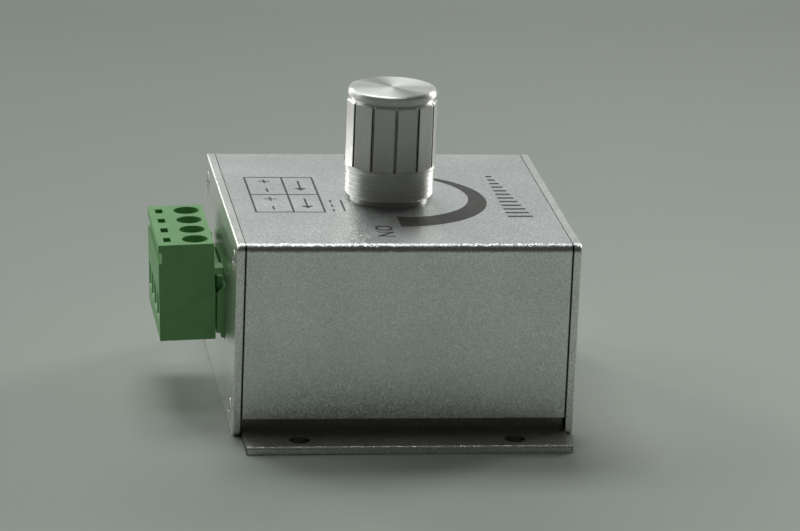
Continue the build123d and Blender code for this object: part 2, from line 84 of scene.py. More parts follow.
camera_right, camera_up, camera_back = view_axes(camera_azimuth, camera_elevation, camera_roll)
camera_place = camera_back * camera_distance + camera_right * aim_right + camera_up * aim_up
camera = bpy.data.objects.new("camera", bpy.data.cameras.new("camera"))
camera.data.sensor_width = SENSOR_WIDTH
camera.data.lens = SENSOR_WIDTH * FOCAL_PIXELS / PICTURE_WIDTH
camera.data.clip_start = nearest_seen
camera_axes = np.eye(4)
camera_axes[:3, :3] = np.stack([camera_right, camera_up, camera_back], axis=1)
camera_axes[:3, 3] = camera_place
camera.matrix_world = Matrix(camera_axes.tolist())
scene.collection.objects.link(camera)
scene.camera = camera
print("camera at", np.round(camera_place, 4), "lens", round(camera.data.lens, 1))

# %% [markdown]
# ## Helpers for nodes
# Every finish below is a small network of shader nodes. Clicking such networks together is fine for one
# material, but a dozen of them are shorter and easier to compare in code. A value handed to `feed` is
# either another node's output, which gets linked, or a plain number, which is set on the socket.

# %% Node helpers
NOISE_BAND = (0.3, 0.7)


def feed(tree, socket, value):
    """Link an output to a socket, or set a plain value on it."""
    if isinstance(value, bpy.types.NodeSocket):
        tree.links.new(value, socket)
    else:
        socket.default_value = value


def calc(tree, operation, *values):
    """One Math node."""
    node = tree.nodes.new("ShaderNodeMath")
    node.operation = operation
    for socket, value in zip(node.inputs, values):
        feed(tree, socket, value)
    return node.outputs[0]


def vector_calc(tree, operation, first, second):
    """One Vector Math node; for SCALE the second value is a number."""
    node = tree.nodes.new("ShaderNodeVectorMath")
    node.operation = operation
    feed(tree, node.inputs[0], first)
    feed(tree, node.inputs["Scale" if operation == "SCALE" else 1], second)
    return node.outputs["Vector"]


def spread(tree, value, low, high, start=0.0, stop=1.0):
    """Carry a value from start..stop over to low..high, and clamp it there."""
    node = tree.nodes.new("ShaderNodeMapRange")
    for label, number in zip(("From Min", "From Max", "To Min", "To Max"), (start, stop, low, high)):
        node.inputs[label].default_value = number
    feed(tree, node.inputs["Value"], value)
    return node.outputs["Result"]


def noise(tree, place, scale, detail=2.0):
    """Cloudy noise from 0 to 1, mostly in NOISE_BAND, with that many clouds in a metre."""
    node = tree.nodes.new("ShaderNodeTexNoise")
    feed(tree, node.inputs["Vector"], place)
    feed(tree, node.inputs["Scale"], scale)
    node.inputs["Detail"].default_value = detail
    return node.outputs[0]


def cells(tree, place):
    """Voronoi cells one unit wide, each with a colour of its own."""
    node = tree.nodes.new("ShaderNodeTexVoronoi")
    node.inputs["Scale"].default_value = 1.0
    feed(tree, node.inputs["Vector"], place)
    return node.outputs["Color"]


def bump(tree, height, distance, strength=1.0):
    """A bumped normal; distance is the depth in metres of a height of 1."""
    node = tree.nodes.new("ShaderNodeBump")
    node.inputs["Strength"].default_value = strength
    node.inputs["Distance"].default_value = distance
    feed(tree, node.inputs["Height"], height)
    return node.outputs["Normal"]


def new_group(name, inputs, outputs):
    """An empty node group with named sockets, and its two ends."""
    group = bpy.data.node_groups.new(name, "ShaderNodeTree")
    for label, kind, value in inputs:
        socket = group.interface.new_socket(label, in_out="INPUT", socket_type=f"NodeSocket{kind}")
        socket.default_value = value
    for label, kind in outputs:
        group.interface.new_socket(label, in_out="OUTPUT", socket_type=f"NodeSocket{kind}")
    entry = group.nodes.new("NodeGroupInput")
    leave = group.nodes.new("NodeGroupOutput")
    return group, entry.outputs, leave.inputs


def use_group(tree, group, values):
    """Place a node group in a tree with its own values."""
    node = tree.nodes.new("ShaderNodeGroup")
    node.node_tree = group
    for label, value in values.items():
        feed(tree, node.inputs[label], value)
    return node.outputs


def new_material(name, **constants):
    """A material with a Principled shader; constants are set straight on the shader's sockets."""
    material = bpy.data.materials.new(name)
    material.use_nodes = True
    shader = material.node_tree.nodes["Principled BSDF"]
    for label, value in constants.items():
        shader.inputs[label.replace("_", " ")].default_value = value
    return material, material.node_tree, shader.inputs


def object_place(tree):
    """Object coordinates in metres."""
    return tree.nodes.new("ShaderNodeTexCoord").outputs["Object"]


# %% [markdown]
# ## Floor and light
# The object stands on a plain grey table. The light is soft and comes from above and behind, stronger from
# the right, while the room in front is dark. That is why roof and knob top are bright, why the walls only
# mirror the table, and why the rounded front edge shows a bright line over a dark band. Large area lamps
# give this directly. Each lamp is stated by its radiance, so a lamp of 1 mirrored in metal looks white.
# The table is painted darker towards the back and the left, and a painted shadow lies before the flange.
# That could be done with screens between lamps and table, but a few gradients in its material are easier to
# set.

# %% Floor
FLOOR_SIZE = 6.0
FLOOR_COLOUR = (0.505, 0.553, 0.510)
HAZE_CLOUDS = 14.0
HAZE_TONES = (0.97, 1.03)
DEPTH_SHADE_TONES = (1.08, 0.52)
DEPTH_REACH = (-0.10, 0.24)
SIDE_SHADE_TONES = (0.94, 1.09)
SIDE_REACH = (-0.06, 0.06)
SHADE_CENTRE = (0.005, -0.062, 0.0)
SHADE_TONES = (0.84, 1.0)
SHADE_REACH = (0.01, 0.055)
floor_mesh = bpy.data.meshes.new("floor")
floor_corners = np.array([(-1, -1, 0), (1, -1, 0), (1, 1, 0), (-1, 1, 0)]) * FLOOR_SIZE / 2
floor_mesh.from_pydata(floor_corners.tolist(), [], [(0, 1, 2, 3)])
floor = bpy.data.objects.new("floor", floor_mesh)
scene.collection.objects.link(floor)
floor_finish, floor_tree, floor_shader = new_material("table_top", Roughness=0.6, Specular_IOR_Level=0.2)
floor_place = object_place(floor_tree)
floor_axes = floor_tree.nodes.new("ShaderNodeSeparateXYZ")
feed(floor_tree, floor_axes.inputs[0], floor_place)
floor_reach = floor_tree.nodes.new("ShaderNodeVectorMath")
floor_reach.operation = "DISTANCE"
floor_reach.inputs[1].default_value = SHADE_CENTRE
feed(floor_tree, floor_reach.inputs[0], floor_place)
floor_haze = spread(floor_tree, noise(floor_tree, floor_place, HAZE_CLOUDS, detail=3.0), *HAZE_TONES)
# painted shade: darker towards the back and the left, and a painted shadow before the flange
floor_depth_shade = spread(floor_tree, floor_axes.outputs["Y"], *DEPTH_SHADE_TONES, *DEPTH_REACH)
floor_side_shade = spread(floor_tree, floor_axes.outputs["X"], *SIDE_SHADE_TONES, *SIDE_REACH)
floor_shade = spread(floor_tree, floor_reach.outputs["Value"], *SHADE_TONES, *SHADE_REACH)
floor_tone = calc(floor_tree, "MULTIPLY", floor_depth_shade, floor_haze)
floor_tone = calc(floor_tree, "MULTIPLY", floor_tone, floor_side_shade)
floor_tone = calc(floor_tree, "MULTIPLY", floor_tone, floor_shade)
feed(floor_tree, floor_shader["Base Color"], vector_calc(floor_tree, "SCALE", FLOOR_COLOUR, floor_tone))
floor_mesh.materials.append(floor_finish)
print("floor", FLOOR_SIZE, "m wide")

# %% Lamps
LAMP_AIM = (0, 0, 0.02)
COOL = (0.97, 1.0, 0.98)
WARM = (1.0, 0.99, 0.93)
ROOM = (0.046, 0.047, 0.045, 1.0)


def soft_panel(name, place, size, radiance, tint):
    """A rectangular lamp that faces LAMP_AIM. Its power is its radiance times pi times its area."""
    lamp = bpy.data.lights.new(name, "AREA")
    lamp.shape = "RECTANGLE"
    lamp.size, lamp.size_y = size
    lamp.energy = radiance * np.pi * size[0] * size[1]
    lamp.color = tint
    holder = bpy.data.objects.new(name, lamp)
    turn = (Vector(place) - Vector(LAMP_AIM)).to_track_quat("Z", "Y")
    holder.matrix_world = Matrix.Translation(place) @ turn.to_matrix().to_4x4()
    scene.collection.objects.link(holder)
    print("lamp", name, round(lamp.energy, 2), "W")


soft_panel("zenith", (0.00, 0.13, 0.95), size=(0.22, 0.12), radiance=8.0, tint=COOL)
soft_panel("overhead", (-0.08, 0.48, 0.75), size=(0.42, 0.25), radiance=7.4, tint=COOL)
soft_panel("back_high", (0.00, 0.80, 0.75), size=(1.2, 0.5), radiance=0.15, tint=COOL)
soft_panel("back_low", (0.10, 1.60, 0.40), size=(2.4, 0.8), radiance=0.46, tint=COOL)
soft_panel("right_back", (0.95, 0.75, 0.40), size=(0.35, 0.5), radiance=9.0, tint=WARM)
soft_panel("left_back", (-0.70, 1.10, 0.45), size=(0.3, 0.6), radiance=6.5, tint=WARM)
soft_panel("left_side", (-0.85, 0.48, 0.60), size=(0.5, 0.5), radiance=2.5, tint=COOL)
world = bpy.data.worlds.new("dim_room")
world.use_nodes = True
world.node_tree.nodes["Background"].inputs["Color"].default_value = ROOM
scene.world = world

# %% [markdown]
# ## Shared effects
# Three effects come back in several finishes, so each is a node group. Blasted aluminium is a skin of tiny
# facets, each tilted its own way, which makes the surface sparkle. It could be a bump map, but a facet is
# smaller than a picture point, so the normal is tilted directly, cell by cell. Moulded plastic has a faint
# clouded tone and an eroded skin. Handling leaves soft smears that change the gloss.

# %% Blasted grain
GLINT_BAND = (0.86, 0.98)
blasted_grain, grain_in, grain_out = new_group(
    "blasted grain",
    [("Place", "Vector", (0, 0, 0)), ("Grains per metre", "Float", 6000.0), ("Tilt", "Float", 0.2)],
    [("Normal", "Vector"), ("Glint", "Float"), ("Tone", "Float")],
)
grain_place = vector_calc(blasted_grain, "SCALE", grain_in["Place"], grain_in["Grains per metre"])
grain_colour = cells(blasted_grain, grain_place)
grain_lean = vector_calc(blasted_grain, "SUBTRACT", grain_colour, (0.5, 0.5, 0.5))
grain_lean = vector_calc(blasted_grain, "SCALE", grain_lean, grain_in["Tilt"])
true_normal = blasted_grain.nodes.new("ShaderNodeNewGeometry").outputs["Normal"]
grain_normal = vector_calc(blasted_grain, "ADD", true_normal, grain_lean)
grain_normal = vector_calc(blasted_grain, "NORMALIZE", grain_normal, (0, 0, 0))
grain_parts = blasted_grain.nodes.new("ShaderNodeSeparateColor")
feed(blasted_grain, grain_parts.inputs[0], grain_colour)
feed(blasted_grain, grain_out["Normal"], grain_normal)
grain_glint = spread(blasted_grain, grain_parts.outputs[0], 0.0, 1.0, *GLINT_BAND)
feed(blasted_grain, grain_out["Glint"], grain_glint)
feed(blasted_grain, grain_out["Tone"], grain_parts.outputs[1])
print("group", blasted_grain.name, len(blasted_grain.nodes), "nodes")

# %% Moulded skin
moulded_skin, skin_in, skin_out = new_group(
    "moulded skin",
    [
        ("Place", "Vector", (0, 0, 0)),
        ("Clouds per metre", "Float", 300.0),
        ("Pits per metre", "Float", 9000.0),
    ],
    [("Tone", "Float"), ("Height", "Float"), ("Gloss", "Float")],
)
skin_clouds = noise(moulded_skin, skin_in["Place"], skin_in["Clouds per metre"], detail=4.0)
skin_pits = noise(moulded_skin, skin_in["Place"], skin_in["Pits per metre"], detail=2.0)
feed(moulded_skin, skin_out["Tone"], spread(moulded_skin, skin_clouds, 0.0, 1.0, *NOISE_BAND))
feed(moulded_skin, skin_out["Height"], skin_pits)
feed(moulded_skin, skin_out["Gloss"], calc(moulded_skin, "MULTIPLY", skin_clouds, skin_pits))
print("group", moulded_skin.name, len(moulded_skin.nodes), "nodes")

# %% Handling smears
SMEAR_BAND = (0.42, 0.68)
handling, handling_in, handling_out = new_group(
    "handling smears",
    [("Place", "Vector", (0, 0, 0)), ("Smears per metre", "Float", 120.0)],
    [("Smear", "Float")],
)
smear_warp = noise(handling, handling_in["Place"], handling_in["Smears per metre"], detail=5.0)
feed(handling, handling_out["Smear"], spread(handling, smear_warp, 0.0, 1.0, *SMEAR_BAND))
print("group", handling.name, len(handling.nodes), "nodes")

# %% [markdown]
# ## Aluminium of the case
# The profiles are blasted and clear anodised: a grey metal with an even sparkle and a blurred mirror of the
# table. A plain rough metal looks like plastic here, so every grain gets its own tilt and its own tone, and
# a few grains flash. Faces that look up were blasted harder and are coarser, and a painted shade makes them a
# little darker. The seams beside the end plates and the recess under the cover's foot are darkened as painted
# shade, where those gaps lie in shadow. Ambient occlusion could find such corners, but two masks from the
# piece's own coordinates give crisp lines.

# %% Painted shade in seams and recess
FADE = 0.05 * MM
SEAM_GAP = 0.1 * MM
SEAM_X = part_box("cover_shell")[1].x + SEAM_GAP / 2
SEAM_REACH = (0.10 * MM, 0.20 * MM)
SEAM_SHADE = 0.06
RECESS_SHADE = 0.42
COVER_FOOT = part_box("cover_shell")[0].z
FLANGE_BEVEL = 0.2 * MM
FLANGE_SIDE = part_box("base_plate")[1].y - FLANGE_BEVEL
FLANGE_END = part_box("base_plate")[1].x - FADE


def painted_shade_tone(tree, place, upward, recess_top):
    """Painted shade: a tone of 1 that drops on walls near the seams, and below recess_top inside the flange's
    outer faces.
    """
    axes = tree.nodes.new("ShaderNodeSeparateXYZ")
    feed(tree, axes.inputs[0], place)
    along = calc(tree, "ABSOLUTE", axes.outputs["X"])
    across = calc(tree, "ABSOLUTE", axes.outputs["Y"])
    from_seam = calc(tree, "ABSOLUTE", calc(tree, "SUBTRACT", along, SEAM_X))
    seam = spread(tree, from_seam, SEAM_SHADE, 1.0, *SEAM_REACH)
    recess = spread(tree, axes.outputs["Z"], RECESS_SHADE, 1.0, recess_top - FADE, recess_top)
    for distance, edge in ((across, FLANGE_SIDE), (along, FLANGE_END)):
        recess = calc(tree, "MAXIMUM", recess, spread(tree, distance, 0.0, 1.0, edge - FADE, edge))
    seam = calc(tree, "MAXIMUM", seam, upward)
    recess = calc(tree, "MAXIMUM", recess, upward)
    return calc(tree, "MULTIPLY", seam, recess)


print("seams at", round(SEAM_X / MM, 2), "mm, cover's foot at", round(COVER_FOOT / MM, 2), "mm")

# %% Blasted aluminium
GRAINS = 6200.0
FILED_GRAINS = 5200.0
GRAIN_TONES = (0.80, 1.12)
GLINT_LIFT = 0.25
SMEARS = 110.0
SMEAR_GLOSS = 0.05
UPWARD_FROM = 0.7
ROOF_TILT = 0.33
ROOF_PAINTED_SHADE = 0.84
ROOF_ROUGHER = 0.08


def blasted_aluminium(name, colour, roughness, tilt, roof_tilt=ROOF_TILT, grains=GRAINS, recess_top=0.0):
    """Metal whose grains tilt, more so on faces that look up; its gloss changes where it was touched."""
    material, tree, shader = new_material(name, Metallic=1.0)
    place = object_place(tree)
    facing = tree.nodes.new("ShaderNodeSeparateXYZ")
    feed(tree, facing.inputs[0], tree.nodes.new("ShaderNodeNewGeometry").outputs["Normal"])
    upward = spread(tree, facing.outputs["Z"], 0.0, 1.0, UPWARD_FROM, 1.0)
    lean = spread(tree, upward, tilt, roof_tilt)
    grain = use_group(tree, blasted_grain, {"Place": place, "Grains per metre": grains, "Tilt": lean})
    touched = use_group(tree, handling, {"Place": place, "Smears per metre": SMEARS})["Smear"]
    tone = spread(tree, grain["Tone"], *GRAIN_TONES)
    tone = calc(tree, "ADD", tone, spread(tree, grain["Glint"], 0.0, GLINT_LIFT))
    # painted shade: darker beside the seams and in the recess under the cover's foot
    tone = calc(tree, "MULTIPLY", tone, painted_shade_tone(tree, place, upward, recess_top))
    # painted shade: faces that look up get a slightly darker colour
    tone = calc(tree, "MULTIPLY", tone, spread(tree, upward, 1.0, ROOF_PAINTED_SHADE))
    feed(tree, shader["Base Color"], vector_calc(tree, "SCALE", colour, tone))
    gloss = spread(tree, upward, roughness, roughness + ROOF_ROUGHER)
    feed(tree, shader["Roughness"], calc(tree, "ADD", spread(tree, touched, 0.0, SMEAR_GLOSS), gloss))
    feed(tree, shader["Normal"], grain["Normal"])
    return material


case_finish = blasted_aluminium("case_blasted", (0.775, 0.80, 0.795), roughness=0.28, tilt=0.14)
plate_finish = blasted_aluminium("end_plate_blasted", (0.84, 0.85, 0.82), roughness=0.30, tilt=0.18)
# painted shade: the base is a darker copy of the case metal for the shaded flange, and carries the recess's
# painted shade
base_shaded_finish = blasted_aluminium(
    "base_blasted_shaded", (0.70, 0.69, 0.66), roughness=0.28, tilt=0.14, recess_top=COVER_FOOT
)
edge_finish = blasted_aluminium(
    "flange_edge_filed", (0.95, 0.95, 0.92), roughness=0.34, tilt=0.5, roof_tilt=0.5, grains=FILED_GRAINS
)
print("case finishes:", case_finish.name, plate_finish.name, base_shaded_finish.name, edge_finish.name)

# %% [markdown]
# ## Bright metals
# Screws, nut, washer and contacts are small plated parts. One function gives them their tone and a finely
# uneven gloss. The knob is lathe-turned: its cutting marks run round the axis and spread every reflection
# across them, which is what anisotropy is for. Its flats were milled and are even, and the grooves between
# them get a dark metal as a painted shadow on their floors and walls.

# %% Plated and turned metals
ACROSS_MARKS = 0.25
PLATED_TONES = (0.9, 1.05)
PLATED_UNEVEN = 0.12
MARK_ROUGHER = 0.05
MARK_SMOOTHER = 0.04
DRAG_STRETCH = (1.0, 1.0, 0.06)
DRAG_LINES = 5200.0
DRAG_TONES = (0.94, 1.03)
DRAG_ROUGHER = 0.07


def plated_metal(name, colour, roughness, clouds):
    """Small plated parts: an even tone, with gloss that varies a little."""
    material, tree, shader = new_material(name, Metallic=1.0)
    place = object_place(tree)
    skin = use_group(tree, moulded_skin, {"Place": place, "Clouds per metre": clouds})
    tone = spread(tree, skin["Tone"], *PLATED_TONES)
    feed(tree, shader["Base Color"], vector_calc(tree, "SCALE", colour, tone))
    feed(tree, shader["Roughness"], spread(tree, skin["Gloss"], roughness, roughness + PLATED_UNEVEN))
    return material


def turned_aluminium(name, colour, roughness, anisotropy, mark_pitch, mark_depth, contrast):
    """Lathe-turned metal: fine rings follow the distance along the turned profile."""
    material, tree, shader = new_material(
        name, Metallic=1.0, Anisotropic=anisotropy, Anisotropic_Rotation=ACROSS_MARKS
    )
    path = tree.nodes.new("ShaderNodeAttribute")
    path.attribute_name = "lathe_path"
    rings = tree.nodes.new("ShaderNodeTexNoise")
    rings.noise_dimensions = "1D"
    rings.inputs["Detail"].default_value = 3.0
    feed(tree, rings.inputs["W"], calc(tree, "DIVIDE", path.outputs["Fac"], mark_pitch))
    marks = rings.outputs[0]
    tone = spread(tree, marks, 1 - contrast, 1 + contrast, *NOISE_BAND)
    feed(tree, shader["Base Color"], vector_calc(tree, "SCALE", colour, tone))
    gloss = spread(tree, marks, roughness + MARK_ROUGHER, roughness - MARK_SMOOTHER, *NOISE_BAND)
    feed(tree, shader["Roughness"], gloss)
    feed(tree, shader["Normal"], bump(tree, marks, mark_depth))
    return material


def milled_aluminium(name, colour, roughness):
    """The knob's flats: a smooth cut with a faint vertical drag."""
    material, tree, shader = new_material(
        name, Metallic=1.0, Anisotropic=0.9, Anisotropic_Rotation=ACROSS_MARKS
    )
    place = object_place(tree)
    stretched = vector_calc(tree, "MULTIPLY", place, DRAG_STRETCH)
    drag = noise(tree, stretched, DRAG_LINES)
    tone = spread(tree, drag, *DRAG_TONES, *NOISE_BAND)
    feed(tree, shader["Base Color"], vector_calc(tree, "SCALE", colour, tone))
    gloss = spread(tree, drag, roughness, roughness + DRAG_ROUGHER, *NOISE_BAND)
    feed(tree, shader["Roughness"], gloss)
    return material


# painted shade: the spun top's colour is darker than the turned metal of the same knob
knob_spun_shaded = turned_aluminium(
    "knob_spun_top", (0.62, 0.635, 0.615), roughness=0.56, anisotropy=0.7,
    mark_pitch=0.28 * MM, mark_depth=0.004 * MM, contrast=0.09,
)
knob_turned = turned_aluminium(
    "knob_turned", (0.91, 0.91, 0.88), roughness=0.44, anisotropy=0.9,
    mark_pitch=0.34 * MM, mark_depth=0.008 * MM, contrast=0.3,
)
knob_milled = milled_aluminium("knob_milled", (0.83, 0.81, 0.80), roughness=0.32)
# painted shade: a dark metal for the knob's grooves, standing in for their shadow
knob_groove_shade = plated_metal("knob_groove_shade", (0.28, 0.28, 0.27), roughness=0.5, clouds=900.0)
screw_finish = plated_metal("end_screws_zinc", (0.80, 0.79, 0.74), roughness=0.26, clouds=700.0)
nickel_finish = plated_metal("nut_nickel", (0.64, 0.62, 0.58), roughness=0.2, clouds=500.0)
can_finish = plated_metal("pot_can_tinned", (0.60, 0.60, 0.58), roughness=0.32, clouds=400.0)
shaft_finish = plated_metal("shaft_aluminium", (0.70, 0.70, 0.69), roughness=0.28, clouds=600.0)
contact_finish = plated_metal("contacts_tinned", (0.66, 0.64, 0.58), roughness=0.3, clouds=900.0)
clamp_finish = plated_metal("clamps_tinned_brass", (0.66, 0.60, 0.46), roughness=0.3, clouds=800.0)
terminal_screw_finish = plated_metal("terminal_screws_zinc", (0.56, 0.56, 0.54), roughness=0.3, clouds=900.0)
print("metals:", len(bpy.data.materials))

# %% [markdown]
# ## Plastics and board
# The plug and its header are moulded in a green nylon with a dull, finely eroded skin. The other plastics are
# hidden in the case or in shade, and still get their own tone, clouds and skin.

# %% Moulded plastics
SKIN_UNEVEN = 0.15


def moulded_plastic(name, colour, roughness, depth, clouds=300.0, shading=0.08):
    """Plastic with a clouded tone and an eroded skin of that depth."""
    material, tree, shader = new_material(name)
    place = object_place(tree)
    skin = use_group(tree, moulded_skin, {"Place": place, "Clouds per metre": clouds})
    tone = spread(tree, skin["Tone"], 1.0 - shading, 1.0 + shading)
    feed(tree, shader["Base Color"], vector_calc(tree, "SCALE", colour, tone))
    feed(tree, shader["Roughness"], spread(tree, skin["Gloss"], roughness, roughness + SKIN_UNEVEN))
    feed(tree, shader["Normal"], bump(tree, skin["Height"], depth))
    return material


green_finish = moulded_plastic("terminal_green", (0.205, 0.48, 0.180), roughness=0.44, depth=0.012 * MM)
black_finish = moulded_plastic("black_moulding", (0.028, 0.028, 0.028), roughness=0.45, depth=0.01 * MM)
epoxy_finish = moulded_plastic("component_epoxy", (0.026, 0.026, 0.028), roughness=0.35, depth=0.006 * MM)
sleeve_finish = moulded_plastic("capacitor_sleeve", (0.035, 0.045, 0.11), roughness=0.28, depth=0.002 * MM)
ceramic_finish = moulded_plastic(
    "chip_ceramic", (0.42, 0.33, 0.23), roughness=0.5, depth=0.01 * MM, clouds=900.0
)
phenolic_finish = moulded_plastic(
    "phenolic_paper", (0.26, 0.13, 0.05), roughness=0.5, depth=0.01 * MM, clouds=700.0, shading=0.2
)
board_finish = moulded_plastic(
    "board_laminate", (0.03, 0.15, 0.06), roughness=0.3, depth=0.006 * MM, clouds=220.0, shading=0.25
)
print("finishes so far:", len(bpy.data.materials))

# %% [markdown]
# ## Printing ink
# The roof is screen printed in dark grey. The ink is thin, so the blasted grain under it still shows as a
# fine sparkle.

# %% Ink
INK_COLOUR = (1.0, 0.98, 0.95)
INK_TILT = 0.3
INK_TONES = (0.035, 0.07)
INK_GLINT = 0.12
INK_ROUGHNESS = (0.42, 0.52)
ink_finish, ink_tree, ink_shader = new_material("roof_ink", Metallic=0.25)
ink_grain = use_group(
    ink_tree, blasted_grain, {"Place": object_place(ink_tree), "Grains per metre": GRAINS, "Tilt": INK_TILT}
)
ink_tone = spread(ink_tree, ink_grain["Tone"], *INK_TONES)
ink_tone = calc(ink_tree, "ADD", ink_tone, spread(ink_tree, ink_grain["Glint"], 0.0, INK_GLINT))
feed(ink_tree, ink_shader["Base Color"], vector_calc(ink_tree, "SCALE", INK_COLOUR, ink_tone))
feed(ink_tree, ink_shader["Roughness"], spread(ink_tree, ink_grain["Tone"], *INK_ROUGHNESS))
feed(ink_tree, ink_shader["Normal"], ink_grain["Normal"])
print("ink:", ink_finish.name)

# %% [markdown]
# ## Dress the CAD pieces
# Pieces whose CAD shape is already right only change their material. The table below pairs every node with
# its finish. The knob isn't in it, because a finer surface replaces it further on.

# %% Finishes of the CAD nodes
POLES = range(1, 5)
finish_of = {
    "cover_shell": case_finish,
    "base_plate": base_shaded_finish,
    "terminal_end_plate": plate_finish,
    "blank_end_plate": plate_finish,
    "knob_insert": black_finish,
    "pot_bushing": nickel_finish,
    "pot_housing": can_finish,
    "pot_wafer": phenolic_finish,
    "pot_terminals": contact_finish,
    "pot_rotor": black_finish,
    "pot_wiper": contact_finish,
    "pot_shaft": shaft_finish,
    "pot_washer": can_finish,
    "pot_nut": nickel_finish,
    "switch_box": black_finish,
    "switch_pins": contact_finish,
    "circuit_board": board_finish,
    "power_transistors": epoxy_finish,
    "filter_capacitor": sleeve_finish,
    "flyback_diode": epoxy_finish,
    "driver_chip": epoxy_finish,
    "chip_resistors": epoxy_finish,
    "chip_capacitors": ceramic_finish,
    "header_housing": green_finish,
    "header_pins": contact_finish,
    "plug_housing": green_finish,
    "plug_contacts": contact_finish,
}
finish_of.update({f"terminal_screw_{i}": terminal_screw_finish for i in POLES})
finish_of.update({f"clamp_cage_{i}": clamp_finish for i in POLES})
for node, finish in finish_of.items():
    nodes[node].data.materials.clear()
    nodes[node].data.materials.append(finish)
print(len(finish_of), "nodes dressed of", len(nodes))


# %% [markdown]
# ## Putting arrays into meshes
# New pieces are arrays of points and faces. This helper makes the object, gives it its finish and body,
# and leaves it at the origin like the CAD nodes.

# %% Mesh helper
def make_piece(name, points, faces, finishes, body):
    """A mesh object from an array of points and lists of faces, riding on a CAD body."""
    mesh = bpy.data.meshes.new(name)
    mesh.from_pydata(points.tolist(), [], faces)
    for finish in finishes:
        mesh.materials.append(finish)
    mesh.validate()
    piece = bpy.data.objects.new(name, mesh)
    scene.collection.objects.link(piece)
    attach(piece, body)
    return piece


# %% [markdown]
# ## Knob
# The knob is turned from bar: a spun top with a bright bevel, a narrow neck, a grip and a ringed skirt with a
# lip. Twelve flats are milled on the grip, with a groove at every corner. A lathe profile turned round the
# axis gives all but the flats, so the surface is a grid: one parameter runs along the profile and the other
# round the axis. Where the profile passes the grip, its radius is held to the milled outline. Corners are
# eased by a small curve, because a machined edge is never perfectly sharp and its glint shows the form.

# %% Knob sizes
knob_low, knob_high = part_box("knob")
knob_top = knob_high.z
knob_bottom = knob_low.z
nut_recess_radius = 6.07 * MM
nut_recess_height = 2.8 * MM
insert_radius = 4.8 * MM
insert_crown = 2.6 * MM
cap_radius = 6.62 * MM
cap_thickness = 1.0 * MM
cap_bevel = 0.45 * MM
cap_bevel_break = 0.12 * MM
cap_bevel_drop = 0.17 * MM
neck_radius = 6.1 * MM
neck_height = 0.65 * MM
grip_flat_radius = 6.58 * MM
grip_flats = 12
grip_turn = np.radians(-1.2)
grip_bevel = 0.35 * MM
groove_half_width = 0.2 * MM
groove_depth = 0.4 * MM
groove_floor_share = 0.92
groove_lip_share = 1.3
groove_lip_drop = 0.12
skirt_radius = nut_recess_radius + 0.53 * MM
skirt_height = 4.82 * MM
skirt_bevel = 0.4 * MM
skirt_shoulder = 0.3 * MM
skirt_lip_radius = 6.76 * MM
skirt_lip_height = 0.4 * MM
ring_count = 4
ring_pitch = 0.8 * MM
ring_height = 0.2 * MM
ring_depth = 0.05 * MM
edge_ease = 0.1 * MM
height_slack = 0.001 * MM
half_flat = np.pi / grip_flats
grip_corner = grip_flat_radius / np.cos(half_flat)
groove_angle = groove_half_width / grip_corner
cap_bottom = knob_top - cap_thickness
grip_top = cap_bottom - neck_height
grip_bottom = knob_bottom + skirt_height
print("knob from", round(knob_bottom / MM, 2), "to", round(knob_top / MM, 2), "mm")


# %% Knob profile
def ring_cuts(middle):
    """Profile points of the rings turned into the skirt, from the top one down."""
    centres = middle + (np.arange(ring_count)[::-1] - (ring_count - 1) / 2) * ring_pitch
    heights = centres[:, None] + np.array([0.5, 0.5, -0.5, -0.5]) * ring_height
    radii = skirt_radius - np.array([0.0, 1.0, 1.0, 0.0]) * ring_depth
    return np.stack([np.broadcast_to(radii, heights.shape), heights], axis=-1).reshape(-1, 2)


def eased(corners, reach, share=0.3, steps=4):
    """Round each corner by a quadratic curve that starts reach away from it, or at that share of its side."""
    before = corners[:-2] - corners[1:-1]
    after = corners[2:] - corners[1:-1]
    length_before = np.linalg.norm(before, axis=1, keepdims=True)
    length_after = np.linalg.norm(after, axis=1, keepdims=True)
    entry = corners[1:-1] + before / length_before * np.minimum(reach, share * length_before)
    leave = corners[1:-1] + after / length_after * np.minimum(reach, share * length_after)
    u = np.linspace(0, 1, steps)[None, :, None]
    curve = (1 - u) ** 2 * entry[:, None] + 2 * u * (1 - u) * corners[1:-1, None] + u**2 * leave[:, None]
    return np.vstack([corners[:1], curve.reshape(-1, 2), corners[-1:]])


skirt_middle = (grip_bottom - skirt_lip_height - skirt_shoulder + knob_bottom + skirt_bevel) / 2
nut_recess_top = knob_bottom + nut_recess_height
insert_top = knob_top - insert_crown
knob_corners = np.vstack([
    [(0, knob_top), (cap_radius - cap_bevel, knob_top)],
    [(cap_radius - cap_bevel_break, knob_top - cap_bevel_drop), (cap_radius, knob_top - cap_bevel)],
    [(cap_radius, cap_bottom), (neck_radius, cap_bottom), (neck_radius, grip_top)],
    [(grip_corner - grip_bevel, grip_top), (grip_corner, grip_top - grip_bevel), (grip_corner, grip_bottom)],
    [(skirt_lip_radius, grip_bottom), (skirt_lip_radius, grip_bottom - skirt_lip_height)],
    [(skirt_radius, grip_bottom - skirt_lip_height - skirt_shoulder)],
    ring_cuts(skirt_middle),
    [(skirt_radius, knob_bottom + skirt_bevel), (skirt_radius - skirt_bevel, knob_bottom)],
    [(nut_recess_radius, knob_bottom), (nut_recess_radius, nut_recess_top), (insert_radius, nut_recess_top)],
    [(insert_radius, insert_top), (0, insert_top)],
])
knob_profile = eased(knob_corners, edge_ease)
print("knob profile:", len(knob_corners), "corners,", len(knob_profile), "points")


# %% Knob surface
def grip_limit(offset):
    """Radius of the milled grip at an angle from the nearest groove: the flat, or the groove's floor.

    The share that the groove has of it is 1 on its floor, small at its edge and 0 past its worn lip.
    """
    flat = grip_flat_radius / np.cos(half_flat - np.abs(offset))
    groove_floor = (grip_corner - groove_depth) / np.cos(offset)
    steps = [groove_floor_share, 1.0, groove_lip_share]
    share = np.interp(np.abs(offset) / groove_angle, steps, [1.0, groove_lip_drop, 0.0])
    return flat - share * (flat - groove_floor)


